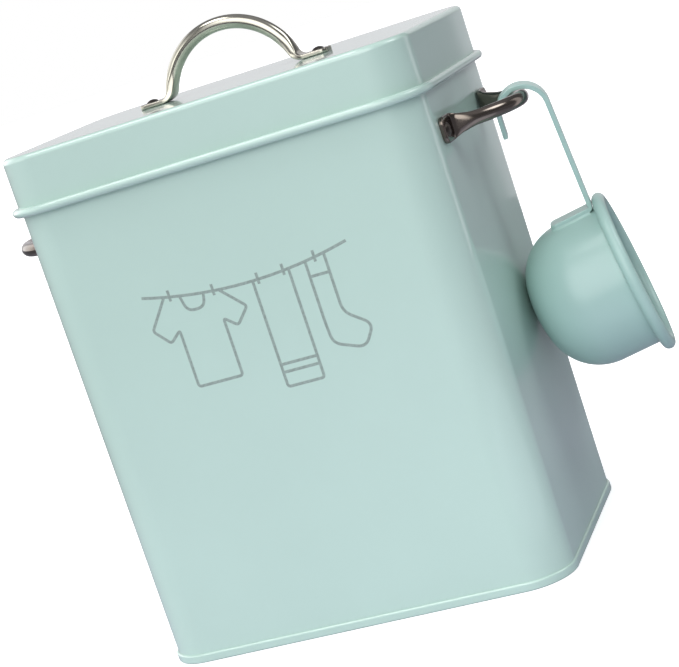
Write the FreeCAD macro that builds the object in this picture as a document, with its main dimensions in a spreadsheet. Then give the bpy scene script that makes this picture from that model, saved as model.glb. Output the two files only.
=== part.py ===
"""Laundry powder storage tin: painted steel box, lift-off lid, three bow handles and a hanging scoop.

Millimetres, +Z up. The origin is the centre of the foot, the front faces -Y and the scoop hangs on the
right-hand handle at +X.
"""
import FreeCAD
import Part
import math
import os

import Sketcher
from FreeCAD import Placement, Rotation, Vector

os.makedirs("parts", exist_ok=True)

doc = FreeCAD.newDocument("laundry_tin")

# name, value, what it measures
DIMENSIONS = (
    ("tin_width", 190.0, "outside width of the wall"),
    ("tin_depth", 137.0, "outside depth of the wall"),
    ("tin_height", 238.8, "height of the wall's top edge"),
    ("corner_radius", 19.0, "outside radius of the upright corners"),
    ("sheet_thickness", 0.6, "steel sheet of wall, base and lid"),
    ("wall_curl", 3.2, "diameter of the safe edge rolled inwards at the top"),
    ("lap_width", 7.0, "width of the lapped seam on the rear"),
    ("hem_height", 4.0, "height of the seam around the foot"),
    ("hem_proud", 1.0, "how far that seam stands out from the wall"),
    ("floor_rise", 2.6, "underside of the floor above the ground"),
    ("seam_play", 0.05, "play of sheet held in a seam or of a rivet in its hole"),
    ("lid_clearance", 0.3, "gap between the wall and the lid's skirt"),
    ("lid_seat", 0.2, "gap where the lid rests on the wall's top edge"),
    ("skirt_depth", 26.0, "height of the lid"),
    ("lid_edge_radius", 2.5, "soft edge around the lid's top"),
    ("lid_curl", 3.8, "diameter of the bead rolled outwards on the skirt"),
    ("rod_diameter", 6.4, "round rod of the handles"),
    ("bow_radius", 31.8, "centre-line radius of a bow"),
    ("bow_sink", 5.6, "depth of the bow's centre behind its mounting face"),
    ("foot_bend", 5.0, "centre-line radius of the bend into a foot"),
    ("foot_width", 11.6, "width of a pressed foot"),
    ("foot_thickness", 2.2, "thickness of a pressed foot"),
    ("neck_thickness", 2.64, "crowned thickness where the rod runs out into the foot"),
    ("foot_length", 11.5, "flat length of a pressed foot"),
    ("foot_corner", 3.0, "corner radius of a foot's end"),
    ("foot_edge", 0.7, "rounding of a foot's upper edge"),
    ("side_handle_drop", 18.3, "rod of the side handles below the lid's bead"),
    ("rivet_diameter", 3.2, "rivet shank"),
    ("rivet_inset", 5.2, "rivet centre from the end of a foot"),
    ("head_diameter", 6.0, "domed rivet head"),
    ("head_height", 1.2, "height of the domed head"),
    ("tail_height", 0.9, "height of the closed end inside the tin"),
    ("scoop_radius", 33.6, "outside radius of the scoop's wall"),
    ("scoop_depth", 47.4, "depth of the scoop below the middle of its rim"),
    ("scoop_crown", 60.0, "outside radius of the scoop's bottom"),
    ("scoop_corner", 25.0, "outside radius between wall and bottom"),
    ("scoop_sheet", 0.8, "sheet of the scoop's bowl"),
    ("scoop_curl", 5.6, "diameter of the scoop's rolled rim"),
    ("strip_width", 10.0, "width of the scoop's handle strip"),
    ("strip_thickness", 2.1, "thickness of that strip"),
    ("hook_radius", 10.9, "centre-line radius of the hook"),
    ("hook_leg", 8.9, "straight free end of the hook"),
    ("hook_clearance", 0.7, "play between hook and handle rod"),
    ("hook_lean", 8.0, "degrees the hook's crown sits inwards of the rod"),
    ("hook_offset", 6.6, "distance of the hook behind the middle of the handle"),
    ("fold_radius", 1.4, "centre-line radius of the fold into the tab"),
    ("foot_gap", 0.2, "gap between the shank's foot and the rolled rim"),
    ("tab_length", 19.4, "length of the tab welded to the bowl"),
    ("weld_gap", 0.05, "paint film between tab and bowl"),
    ("scoop_drop", 93.1, "rim's middle below the top of the handle rod"),
    ("scoop_yaw", 10.0, "degrees the hanging scoop is turned to the rear"),
    ("scoop_pitch", 9.7, "degrees the scoop's mouth looks upwards"),
    ("scoop_tilt", 5.0, "degrees the scoop swings to the rear below its hook"),
    ("rest_gap", 0.15, "gap where the scoop leans on the wall"),
)

sheet = doc.addObject("Spreadsheet::Sheet", "dims")
for row, (alias, value, meaning) in enumerate(DIMENSIONS, start=1):
    sheet.set(f"A{row}", meaning)
    sheet.set(f"B{row}", str(value))
    sheet.setAlias(f"B{row}", alias)
doc.recompute()


def size(alias):
    """Value of a driving dimension."""
    return float(getattr(sheet, alias))


def value(formula):
    """The number that a formula of dimensions gives now, for first positions in sketches."""
    return float(sheet.evalExpression(formula))


def bind(obj, **formulas):
    """Tie properties to the sheet; a double underscore in a name stands for a dot."""
    for path, formula in formulas.items():
        obj.setExpression(path.replace("__", "."), formula)


def origin_plane(body, role):
    """One of a body's own origin planes."""
    return next(item for item in body.Origin.OriginFeatures if item.Role == role)


def new_sketch(body, name, role, height=None):
    """Sketch on an origin plane of the body, lifted off it by an optional formula."""
    sketch = body.newObject("Sketcher::SketchObject", name)
    sketch.AttachmentSupport = [(origin_plane(body, role), "")]
    sketch.MapMode = "FlatFace"
    if height:
        bind(sketch, AttachmentOffset__Base__z=height)
    return sketch


def drive(sketch, constraint, formula):
    """Add a dimension to a sketch and tie it to the sheet."""
    index = sketch.addConstraint(constraint)
    sketch.setExpression(f"Constraints[{index}]", formula)


def rounded_rectangle(sketch, width, depth, radius):
    """Rounded rectangle about the sketch's origin, driven by three formulas."""
    x, y, r = value(width) / 2, value(depth) / 2, value(radius)
    normal = Vector(0, 0, 1)
    first = sketch.GeometryCount
    for start, end in (
        ((r - x, -y), (x - r, -y)),
        ((x, r - y), (x, y - r)),
        ((x - r, y), (r - x, y)),
        ((-x, y - r), (-x, r - y)),
    ):
        sketch.addGeometry(Part.LineSegment(Vector(*start, 0), Vector(*end, 0)))
    middles = ((x - r, r - y), (x - r, y - r), (r - x, y - r), (r - x, r - y))
    for quarter, (cx, cy) in enumerate(middles, start=-1):
        circle = Part.Circle(Vector(cx, cy, 0), normal, r)
        start = math.radians(90 * quarter)
        sketch.addGeometry(Part.ArcOfCircle(circle, start, start + math.pi / 2))
    for side in range(4):
        line, arc = first + side, first + 4 + side
        following = first + (side + 1) % 4
        sketch.addConstraint(Sketcher.Constraint("Tangent", line, 2, arc, 1))
        sketch.addConstraint(Sketcher.Constraint("Tangent", arc, 2, following, 1))
        kind = "Vertical" if side % 2 else "Horizontal"
        sketch.addConstraint(Sketcher.Constraint(kind, line))
    for arc in range(first + 5, first + 8):
        sketch.addConstraint(Sketcher.Constraint("Equal", first + 4, arc))
    sketch.addConstraint(Sketcher.Constraint("Symmetric", first + 4, 3, first + 6, 3, -1, 1))
    drive(sketch, Sketcher.Constraint("DistanceX", first + 3, 1, first + 1, 1, 2 * x), width)
    drive(sketch, Sketcher.Constraint("DistanceY", first, 1, first + 2, 1, 2 * y), depth)
    drive(sketch, Sketcher.Constraint("Radius", first + 4, r), radius)


def offset_rectangle(sketch, offset):
    """The tin's outline in plan, set outwards by a formula."""
    rounded_rectangle(
        sketch,
        f"dims.tin_width + 2 * ({offset})",
        f"dims.tin_depth + 2 * ({offset})",
        f"dims.corner_radius + ({offset})",
    )


def offset_pad(body, name, offset, start, length, hollow=None):
    """Pad of the offset outline, from a height, with an optional second outline left open."""
    sketch = new_sketch(body, f"{name}_outline", "XY_Plane", start)
    offset_rectangle(sketch, offset)
    if hollow:
        offset_rectangle(sketch, hollow)
    pad = body.newObject("PartDesign::Pad", name)
    pad.Profile = sketch
    bind(pad, Length=length)
    doc.recompute()
    return pad


def offset_pocket(body, name, offset, start, length, island=None):
    """Pocket of the offset outline, upwards from a height, with an optional island kept."""
    sketch = new_sketch(body, f"{name}_outline", "XY_Plane", start)
    offset_rectangle(sketch, offset)
    if island:
        offset_rectangle(sketch, island)
    pocket = body.newObject("PartDesign::Pocket", name)
    pocket.Profile = sketch
    pocket.Reversed = True
    bind(pocket, Length=length)
    doc.recompute()
    return pocket


def rolled_edge(body, name, middle, height, diameter, thickness):
    """Hollow roll of the sheet's edge, swept once around the tin."""
    path = new_sketch(body, f"{name}_path", "XY_Plane", height)
    offset_rectangle(path, middle)
    section = new_sketch(body, f"{name}_section", "XZ_Plane")
    centre = f"dims.tin_width / 2 + ({middle})"
    for radius in (f"({diameter}) / 2", f"({diameter}) / 2 - ({thickness})"):
        circle = Part.Circle(Vector(value(centre), value(height), 0), Vector(0, 0, 1), value(radius))
        ring = sketch_circle(section, circle, radius)
        drive(section, Sketcher.Constraint("DistanceX", -1, 1, ring, 3, value(centre)), centre)
        drive(section, Sketcher.Constraint("DistanceY", -1, 1, ring, 3, value(height)), height)
    roll = body.newObject("PartDesign::AdditivePipe", name)
    roll.Profile = section
    roll.Spine = (path, [])
    doc.recompute()
    return roll


def sketch_circle(sketch, circle, radius):
    """Circle with a driven radius; returns its index."""
    index = sketch.addGeometry(circle)
    drive(sketch, Sketcher.Constraint("Radius", index, circle.Radius), radius)
    return index


def edges_at(feature, height, tolerance=1e-4):
    """Names of a feature's edges that lie level at a height."""
    names = []
    for number, edge in enumerate(feature.Shape.Edges, start=1):
        box = edge.BoundBox
        if abs(box.ZMin - height) < tolerance and abs(box.ZMax - height) < tolerance:
            names.append(f"Edge{number}")
    return names


def faces_at(feature, height, tolerance=1e-4):
    """Names of a feature's flat faces that lie level at a height."""
    names = []
    for number, face in enumerate(feature.Shape.Faces, start=1):
        if isinstance(face.Surface, Part.Plane) and abs(face.CenterOfMass.z - height) < tolerance:
            if abs(face.normalAt(0, 0).z) > 0.9:
                names.append(f"Face{number}")
    return names


def new_body(label):
    """Empty body with a label of its own."""
    body = doc.addObject("PartDesign::Body", label)
    body.Label = label
    return body


def add(kind, name, **formulas):
    """Part-workbench object with driven properties."""
    obj = doc.addObject(f"Part::{kind}", name)
    bind(obj, **formulas)
    return obj


def pierced(label, base, tools):
    """Node made by cutting tools out of a base."""
    cutters = doc.addObject("Part::MultiFuse", f"{label}_holes")
    cutters.Shapes = tools
    node = doc.addObject("Part::Cut", label)
    node.Label = label
    node.Base = base
    node.Tool = cutters
    return node


# --- tin -----------------------------------------------------------------------------------------

LID_TOP = "dims.tin_height + dims.lid_seat + dims.sheet_thickness"
BEAD_FOOT = f"{LID_TOP} - dims.skirt_depth"
SKIRT_OFFSET = "dims.lid_clearance + dims.sheet_thickness"
SIDE_HANDLE_HEIGHT = f"{BEAD_FOOT} - dims.side_handle_drop"
WALL_INSIDE = "-dims.sheet_thickness"
HOLE_RADIUS = "dims.rivet_diameter / 2 + dims.seam_play"


def make_wall():
    """One wrapped sheet: hemmed-in top edge, lapped rear seam."""
    body = new_body("wall_sheet")
    foot = "dims.sheet_thickness + dims.seam_play"
    roll_height = "dims.tin_height - dims.wall_curl / 2"
    offset_pad(body, "wall", "0", foot, f"{roll_height} - ({foot})", WALL_INSIDE)
    middle = "-dims.wall_curl / 2"
    rolled_edge(body, "safe_edge", middle, roll_height, "dims.wall_curl", "dims.sheet_thickness")
    make_lap(body)
    return body


def make_lap(body):
    """Second layer of sheet where the wall's two ends lap, inside the rear face."""
    start = "dims.hem_height"
    outer = "dims.tin_depth / 2 - dims.sheet_thickness / 2"
    inner = "dims.tin_depth / 2 - 2 * dims.sheet_thickness"
    half, near, far = value("dims.lap_width / 2"), value(inner), value(outer)
    sketch = new_sketch(body, "lap_outline", "XY_Plane", start)
    corners = [Vector(-half, near, 0), Vector(half, near, 0), Vector(half, far, 0), Vector(-half, far, 0)]
    for index in range(4):
        following = (index + 1) % 4
        sketch.addGeometry(Part.LineSegment(corners[index], corners[following]))
    for index in range(4):
        sketch.addConstraint(Sketcher.Constraint("Coincident", index, 2, (index + 1) % 4, 1))
    for index, kind in ((1, "Vertical"), (2, "Horizontal"), (3, "Vertical")):
        sketch.addConstraint(Sketcher.Constraint(kind, index))
    sketch.addConstraint(Sketcher.Constraint("Symmetric", 0, 1, 0, 2, -2))
    drive(sketch, Sketcher.Constraint("DistanceX", 0, 1, 0, 2, 2 * half), "dims.lap_width")
    drive(sketch, Sketcher.Constraint("DistanceY", -1, 1, 0, 1, near), inner)
    drive(sketch, Sketcher.Constraint("DistanceY", -1, 1, 2, 1, far), outer)
    pad = body.newObject("PartDesign::Pad", "lap")
    pad.Profile = sketch
    bind(pad, Length=f"dims.tin_height - dims.wall_curl - ({start})")
    doc.recompute()


def make_base():
    """Bottom panel: hem outside the wall's foot, channel for the sheet, raised floor."""
    body = new_body("base_panel")
    block = offset_pad(body, "hem", "dims.hem_proud", "0", "dims.hem_height")
    rounding = body.newObject("PartDesign::Fillet", "hem_edges")
    rounding.Base = (block, edges_at(block, 0) + edges_at(block, size("hem_height")))
    bind(rounding, Radius="dims.hem_proud * 0.8")
    doc.recompute()
    floor_top = "dims.floor_rise + dims.sheet_thickness"
    held = "-(dims.sheet_thickness + dims.seam_play)"
    offset_pocket(body, "channel", "dims.seam_play", "dims.sheet_thickness", "dims.hem_height", held)
    offset_pocket(body, "inside", held, floor_top, "dims.hem_height")
    recess = "-(2 * dims.sheet_thickness + dims.seam_play)"
    offset_pocket(body, "recess", recess, "0", "dims.floor_rise")
    return body


def make_lid():
    """One drawn piece: flat top, soft edge, straight skirt, bead rolled outwards."""
    body = new_body("lid_shell")
    roll_height = f"{BEAD_FOOT} + dims.lid_curl / 2"
    block = offset_pad(body, "cap", SKIRT_OFFSET, roll_height, "dims.skirt_depth - dims.lid_curl / 2")
    rounding = body.newObject("PartDesign::Fillet", "cap_edge")
    rounding.Base = (block, edges_at(block, value(LID_TOP)))
    bind(rounding, Radius="dims.lid_edge_radius")
    doc.recompute()
    shell = body.newObject("PartDesign::Thickness", "cap_shell")
    shell.Base = (rounding, faces_at(rounding, value(roll_height)))
    shell.Reversed = True
    bind(shell, Value="dims.sheet_thickness")
    doc.recompute()
    middle = "dims.lid_clearance + dims.lid_curl / 2"
    rolled_edge(body, "bead", middle, roll_height, "dims.lid_curl", "dims.sheet_thickness")
    return body


# --- bow handles and their rivets -----------------------------------------------------------------

def bow_half_angle():
    """Angle from the crown at which the bow meets the bend into its foot, in radians."""
    height = size("bow_sink") + size("foot_bend") + size("foot_thickness") / 2
    return math.acos(height / (size("bow_radius") + size("foot_bend")))


def flat_start():
    """Distance from the handle's middle to where a foot becomes flat."""
    return (size("bow_radius") + size("foot_bend")) * math.sin(bow_half_angle())


def rivet_reach():
    """Distance from the handle's middle to a rivet."""
    return flat_start() + size("foot_length") - size("rivet_inset")


def rod_stations():
    """Places along the rod's middle where it is pressed: x, z, slope and share of the pressing."""
    radius, bend, sink = size("bow_radius"), size("foot_bend"), size("bow_sink")
    half = bow_half_angle()
    stations = []
    for step in range(PRESS_STEPS):
        angle = half - PRESS_START * (1 - step / PRESS_STEPS)
        stations.append((radius * math.sin(angle), radius * math.cos(angle) - sink, angle))
    for step in range(PRESS_STEPS + 1):
        angle = half * (1 - step / PRESS_STEPS)
        x = flat_start() - bend * math.sin(angle)
        z = size("foot_thickness") / 2 + bend * (1 - math.cos(angle))
        stations.append((x, z, angle))
    last = len(stations) - 1
    shares = [0.5 - 0.5 * math.cos(math.pi * step / last) for step in range(last + 1)]
    return [(*station, share) for station, share in zip(stations, shares)]


PRESS_STEPS = 4
PRESS_START = math.radians(16)


def pressed(breadth, share):
    """Formula for the half breadth of the rod, part of the way from round to pressed."""
    return f"(dims.rod_diameter + {share:.4f} * ({breadth} - dims.rod_diameter)) / 2"


def make_foot(name):
    """One end of the rod: pressed from round to a flat paddle with rounded corners."""
    sections = []
    for number, (x, z, slope, share) in enumerate(rod_stations()):
        section = add(
            "Ellipse",
            f"{name}_section_{number}",
            MajorRadius=pressed("dims.foot_width", share),
            MinorRadius=pressed("dims.neck_thickness", share),
        )
        along = Vector(math.cos(slope), 0, -math.sin(slope))
        section.Placement = Placement(Vector(x, 0, z), Rotation(Vector(0, 1, 0), Vector(), along, "ZXY"))
        sections.append(section)
    neck = doc.addObject("Part::Loft", f"{name}_neck")
    neck.Sections = sections
    neck.Solid = True
    paddle = add(
        "Box",
        f"{name}_blank",
        Length="dims.foot_length + dims.foot_corner",
        Width="dims.foot_width",
        Height="dims.foot_thickness",
    )
    paddle.Placement.Base = Vector(flat_start() - size("foot_corner"), -size("foot_width") / 2, 0)
    doc.recompute()
    corners = rounded(f"{name}_corners", paddle, upright_edges, size("foot_corner"))
    paddle_top = rounded(f"{name}_paddle", corners, top_edges, size("foot_edge"))
    foot = doc.addObject("Part::MultiFuse", name)
    foot.Shapes = [neck, paddle_top]
    return foot


def upright_edges(shape):
    """Numbers of a shape's upright edges."""
    height = shape.BoundBox.ZLength
    return [k for k, edge in enumerate(shape.Edges, 1) if edge.BoundBox.ZLength > 0.9 * height]


def top_edges(shape):
    """Numbers of a shape's edges around its top face."""
    top = shape.BoundBox.ZMax
    return [k for k, edge in enumerate(shape.Edges, 1) if edge.BoundBox.ZMin > top - 1e-3]


def rounded(name, base, pick, radius):
    """Part fillet on the edges that a rule picks."""
    doc.recompute()
    fillet = doc.addObject("Part::Fillet", name)
    fillet.Base = base
    fillet.Edges = [(number, radius, radius) for number in pick(base.Shape)]
    doc.recompute()
    return fillet


def make_handle(label, mount):
    """Bow of round rod with both ends pressed flat, standing on the plane z = 0 of its mount."""
    half = bow_half_angle() - PRESS_START
    bow = add("Torus", f"{label}_bow", Radius1="dims.bow_radius", Radius2="dims.rod_diameter / 2")
    bow.Angle3 = math.degrees(2 * half)
    upright = Rotation(Vector(1, 0, 0), 90) * Rotation(Vector(0, 0, 1), 90 - math.degrees(half))
    bow.Placement = Placement(Vector(0, 0, -size("bow_sink")), upright)
    foot = make_foot(f"{label}_foot")
    other = doc.addObject("Part::Mirroring", f"{label}_other_foot")
    other.Source = foot
    other.Normal = Vector(1, 0, 0)
    rod = doc.addObject("Part::MultiFuse", f"{label}_rod")
    rod.Shapes = [bow, foot, other]
    below = add(
        "Box",
        f"{label}_seat",
        Length="4 * dims.bow_radius",
        Width="dims.bow_radius",
        Height="dims.rod_diameter",
        Placement__Base__x="-2 * dims.bow_radius",
        Placement__Base__y="-dims.bow_radius / 2",
        Placement__Base__z="-dims.rod_diameter",
    )
    holes = [rivet_hole(f"{label}_hole_{k}", side, "dims.rod_diameter") for k, side in enumerate((-1, 1))]
    node = pierced(label, rod, [below] + holes)
    node.Placement = mount
    return node


def rivet_hole(name, side, depth):
    """Cutter for a rivet hole in a handle's own frame, both ways from the mounting plane."""
    hole = add("Cylinder", name, Radius=HOLE_RADIUS, Height=f"2 * ({depth})")
    hole.Placement.Base = Vector(side * rivet_reach(), 0, -value(depth))
    return hole


def make_rivet(label, mount, side):
    """Solid rivet: domed head on the foot, shank through foot and sheet, low closed end inside."""
    shank = add(
        "Cylinder",
        f"{label}_shank",
        Radius="dims.rivet_diameter / 2",
        Height="dims.foot_thickness + dims.sheet_thickness",
        Placement__Base__z="-dims.sheet_thickness",
    )
    head = spherical_cap(f"{label}_head", "dims.head_diameter", "dims.head_height")
    head.Placement.Base = Vector(0, 0, size("foot_thickness"))
    tail = spherical_cap(f"{label}_tail", "dims.head_diameter", "dims.tail_height")
    tail.Placement = Placement(Vector(0, 0, -size("sheet_thickness")), Rotation(Vector(1, 0, 0), 180))
    node = doc.addObject("Part::MultiFuse", label)
    node.Label = label
    node.Shapes = [shank, head, tail]
    node.Placement = mount * Placement(Vector(side * rivet_reach(), 0, 0), Rotation())
    return node


def spherical_cap(name, diameter, height):
    """Cap of a ball standing on z = 0, made as a ball less all that lies below."""
    radius = f"(({diameter})^2 / 4 + ({height})^2) / (2 * {height})"
    ball = add("Sphere", f"{name}_ball", Radius=radius, Placement__Base__z=f"{height} - ({radius})")
    block = add(
        "Box",
        f"{name}_block",
        Length=diameter,
        Width=diameter,
        Height=height,
        Placement__Base__x=f"-({diameter}) / 2",
        Placement__Base__y=f"-({diameter}) / 2",
    )
    cap = doc.addObject("Part::Common", name)
    cap.Base = ball
    cap.Tool = block
    group = doc.addObject("Part::Compound", f"{name}_placed")
    group.Links = [cap]
    return group


# --- hanging scoop --------------------------------------------------------------------------------

def scoop_frame():
    """Placement of the scoop's own plane: X outwards, Y up, origin in the middle of the handle's rod."""
    offset, radius = size("hook_offset"), size("bow_radius")
    reach = size("tin_width") / 2 - size("bow_sink") + math.sqrt(radius**2 - offset**2)
    yaw, tilt = math.radians(size("scoop_yaw")), math.radians(size("scoop_tilt"))
    outwards = Vector(math.cos(yaw), math.sin(yaw), 0)
    rear = Vector(-math.sin(yaw), math.cos(yaw), 0)
    upwards = Vector(0, 0, math.cos(tilt)) - rear * math.sin(tilt)
    turn = Rotation(outwards, upwards, Vector(), "XYZ")
    return Placement(Vector(reach, offset, value(SIDE_HANDLE_HEIGHT)), turn)


def rim_middle():
    """Middle of the rim in the scoop's plane, such that the crown of its bottom leans on the wall."""
    frame, mouth = scoop_frame(), mouth_direction()
    crown = size("scoop_crown")
    to_ball = mouth * (crown - size("scoop_depth"))
    height = size("rod_diameter") / 2 - size("scoop_drop")
    outwards, upwards = [frame.Rotation.multVec(axis) for axis in (Vector(1, 0, 0), Vector(0, 1, 0))]
    ball_reach = size("tin_width") / 2 + size("rest_gap") + crown
    along = (ball_reach - frame.Base.x - upwards.x * (height + to_ball.y)) / outwards.x
    return Vector(along - to_ball.x, height, 0)


def mouth_direction():
    """Direction of the bowl's axis in the scoop's plane."""
    pitch = math.radians(size("scoop_pitch"))
    return Vector(math.cos(pitch), math.sin(pitch), 0)


def make_bowl():
    """Deep drawn bowl, turned about its axis: straight wall, domed bottom, rolled rim."""
    body = new_body("scoop_bowl")
    turned(body, "Revolution", "bowl_outside", bowl_profile(body, "outside_profile", "0"))
    turned(body, "Groove", "bowl_inside", bowl_profile(body, "inside_profile", "dims.scoop_sheet"))
    section = new_sketch(body, "rim_section", "XZ_Plane")
    middle = "dims.scoop_radius - dims.scoop_sheet + dims.scoop_curl / 2"
    for radius in ("dims.scoop_curl / 2", "dims.scoop_curl / 2 - dims.scoop_sheet"):
        circle = Part.Circle(Vector(value(middle), 0, 0), Vector(0, 0, 1), value(radius))
        ring = sketch_circle(section, circle, radius)
        section.addConstraint(Sketcher.Constraint("PointOnObject", ring, 3, -1))
        drive(section, Sketcher.Constraint("DistanceX", -1, 1, ring, 3, value(middle)), middle)
    turned(body, "Revolution", "rim", section)
    frame = scoop_frame()
    mouth = frame.Rotation.multVec(mouth_direction())
    across = frame.Rotation.multVec(Vector(0, 0, 1))
    body.Placement = Placement(frame.multVec(rim_middle()), Rotation(Vector(), across, mouth, "ZYX"))
    return body


def bowl_profile(body, name, inset):
    """Half section of the bowl, set inwards by a formula: wall, corner arc and crown arc in one run."""
    names = ("scoop_radius", "scoop_depth", "scoop_corner", "scoop_crown")
    formulas = [f"dims.{alias} - ({inset})" for alias in names]
    radius, depth, corner, crown = [value(formula) for formula in formulas]
    crown_middle = crown - depth
    corner_middle = crown_middle - math.sqrt((crown - corner) ** 2 - (radius - corner) ** 2)
    split = math.atan2(corner_middle - crown_middle, radius - corner)
    normal = Vector(0, 0, 1)
    sketch = new_sketch(body, name, "XZ_Plane")
    sketch.addGeometry(Part.LineSegment(Vector(0, 0, 0), Vector(radius, 0, 0)))
    sketch.addGeometry(Part.LineSegment(Vector(radius, 0, 0), Vector(radius, corner_middle, 0)))
    corner_circle = Part.Circle(Vector(radius - corner, corner_middle, 0), normal, corner)
    sketch.addGeometry(Part.ArcOfCircle(corner_circle, split, 0))
    crown_circle = Part.Circle(Vector(0, crown_middle, 0), normal, crown)
    sketch.addGeometry(Part.ArcOfCircle(crown_circle, -math.pi / 2, split))
    sketch.addGeometry(Part.LineSegment(Vector(0, -depth, 0), Vector(0, 0, 0)))
    sketch.addConstraint(Sketcher.Constraint("Coincident", 0, 1, -1, 1))
    sketch.addConstraint(Sketcher.Constraint("Coincident", 0, 2, 1, 1))
    sketch.addConstraint(Sketcher.Constraint("Tangent", 1, 2, 2, 2))
    sketch.addConstraint(Sketcher.Constraint("Tangent", 2, 1, 3, 2))
    sketch.addConstraint(Sketcher.Constraint("Coincident", 3, 1, 4, 1))
    sketch.addConstraint(Sketcher.Constraint("Coincident", 4, 2, 0, 1))
    sketch.addConstraint(Sketcher.Constraint("Horizontal", 0))
    sketch.addConstraint(Sketcher.Constraint("Vertical", 1))
    sketch.addConstraint(Sketcher.Constraint("Vertical", 4))
    sketch.addConstraint(Sketcher.Constraint("PointOnObject", 3, 3, -2))
    for formula, constraint in zip(
        formulas,
        (
            Sketcher.Constraint("DistanceX", 0, 1, 0, 2, radius),
            Sketcher.Constraint("DistanceY", 4, 1, 4, 2, depth),
            Sketcher.Constraint("Radius", 2, corner),
            Sketcher.Constraint("Radius", 3, crown),
        ),
    ):
        drive(sketch, constraint, formula)
    return sketch


def turned(body, kind, name, sketch):
    """Full turn of a sketch about its upright axis, added or cut away."""
    feature = body.newObject(f"PartDesign::{kind}", name)
    feature.Profile = sketch
    feature.ReferenceAxis = (sketch, ["V_Axis"])
    feature.Angle = 360
    doc.recompute()
    return feature


def make_strip():
    """One flat strip: free end, hook, shank, sharp fold and the tab along the bowl."""
    path = doc.addObject("Sketcher::SketchObject", "strip_path")
    hook, fold = size("hook_radius"), size("fold_radius")
    sink = hook - size("strip_thickness") / 2 - size("rod_diameter") / 2 - size("hook_clearance")
    lean = math.radians(size("hook_lean"))
    middle = Vector(-sink * math.sin(lean), -sink * math.cos(lean), 0)
    mouth = mouth_direction()
    upwards = Vector(-mouth.y, mouth.x, 0)
    rise = size("scoop_radius") + size("weld_gap") + size("strip_thickness") / 2
    set_back = (size("scoop_curl") + size("strip_thickness")) / 2 + size("foot_gap")
    corner = rim_middle() + upwards * rise - mouth * set_back

    to_corner = corner - middle
    bearing = math.atan2(to_corner.y, to_corner.x) + math.acos(hook / to_corner.Length)
    shank_top = middle + Vector(math.cos(bearing), math.sin(bearing), 0) * hook
    down = (corner - shank_top).normalize()
    turn = math.acos(-(down * mouth))
    run = fold * math.tan(turn / 2)
    shank_foot = corner - down * run
    tab_start = corner - mouth * run
    inwards = Vector(down.y, -down.x, 0)
    fold_middle = shank_foot + inwards * fold

    leg_top = middle - Vector(hook, 0, 0)
    leg_end = leg_top - Vector(0, size("hook_leg"), 0)
    tab_end = tab_start - mouth * (size("tab_length") - run)
    normal = Vector(0, 0, 1)
    first = math.atan2(tab_start.y - fold_middle.y, tab_start.x - fold_middle.x)
    last = math.atan2(shank_foot.y - fold_middle.y, shank_foot.x - fold_middle.x)
    path.addGeometry(Part.LineSegment(leg_end, leg_top))
    path.addGeometry(Part.ArcOfCircle(Part.Circle(middle, normal, hook), bearing, math.pi))
    path.addGeometry(Part.LineSegment(shank_top, shank_foot))
    path.addGeometry(Part.ArcOfCircle(Part.Circle(fold_middle, normal, fold), first, last))
    path.addGeometry(Part.LineSegment(tab_start, tab_end))
    path.addConstraint(Sketcher.Constraint("Vertical", 0))
    path.addConstraint(Sketcher.Constraint("Tangent", 0, 2, 1, 2))
    path.addConstraint(Sketcher.Constraint("Tangent", 1, 1, 2, 1))
    path.addConstraint(Sketcher.Constraint("Tangent", 2, 2, 3, 2))
    path.addConstraint(Sketcher.Constraint("Tangent", 3, 1, 4, 1))
    for axis, kind in enumerate(("DistanceX", "DistanceY")):
        path.addConstraint(Sketcher.Constraint(kind, -1, 1, 1, 3, middle[axis]))
        path.addConstraint(Sketcher.Constraint(kind, -1, 1, 4, 2, tab_end[axis]))
    drive(path, Sketcher.Constraint("Radius", 1, hook), "dims.hook_radius")
    drive(path, Sketcher.Constraint("Radius", 3, fold), "dims.fold_radius")
    drive(path, Sketcher.Constraint("DistanceY", 0, 1, 0, 2, size("hook_leg")), "dims.hook_leg")
    path.addConstraint(Sketcher.Constraint("Distance", 4, (tab_start - tab_end).Length))
    doc.recompute()

    side = doc.addObject("Part::Offset2D", "strip_side")
    side.Source = path
    side.Mode = "Pipe"
    side.Join = "Arc"
    side.Fill = True
    bind(side, Value="dims.strip_thickness / 2")
    strip = doc.addObject("Part::Extrusion", "scoop_handle")
    strip.Label = "scoop_handle"
    strip.Base = side
    strip.DirMode = "Normal"
    strip.Solid = True
    strip.Symmetric = True
    bind(strip, LengthFwd="dims.strip_width")
    doc.recompute()
    strip.Placement = scoop_frame()
    return strip


# --- assembly -------------------------------------------------------------------------------------

def wall_holes():
    """Cutters for the side handles' rivets, right through both side walls."""
    holes = []
    for number, side in enumerate((-1, 1)):
        hole = add("Cylinder", f"wall_hole_{number}", Radius=HOLE_RADIUS, Height="dims.tin_width * 1.1")
        start = Vector(-0.55 * size("tin_width"), side * rivet_reach(), value(SIDE_HANDLE_HEIGHT))
        hole.Placement = Placement(start, Rotation(Vector(0, 1, 0), 90))
        holes.append(hole)
    return holes


def lid_holes():
    """Cutters for the lid handle's rivets."""
    holes = []
    for number, side in enumerate((-1, 1)):
        hole = rivet_hole(f"lid_hole_{number}", side, "2 * dims.lid_edge_radius")
        hole.Placement.Base.z = value(LID_TOP) - 2 * size("lid_edge_radius")
        holes.append(hole)
    return holes


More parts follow.
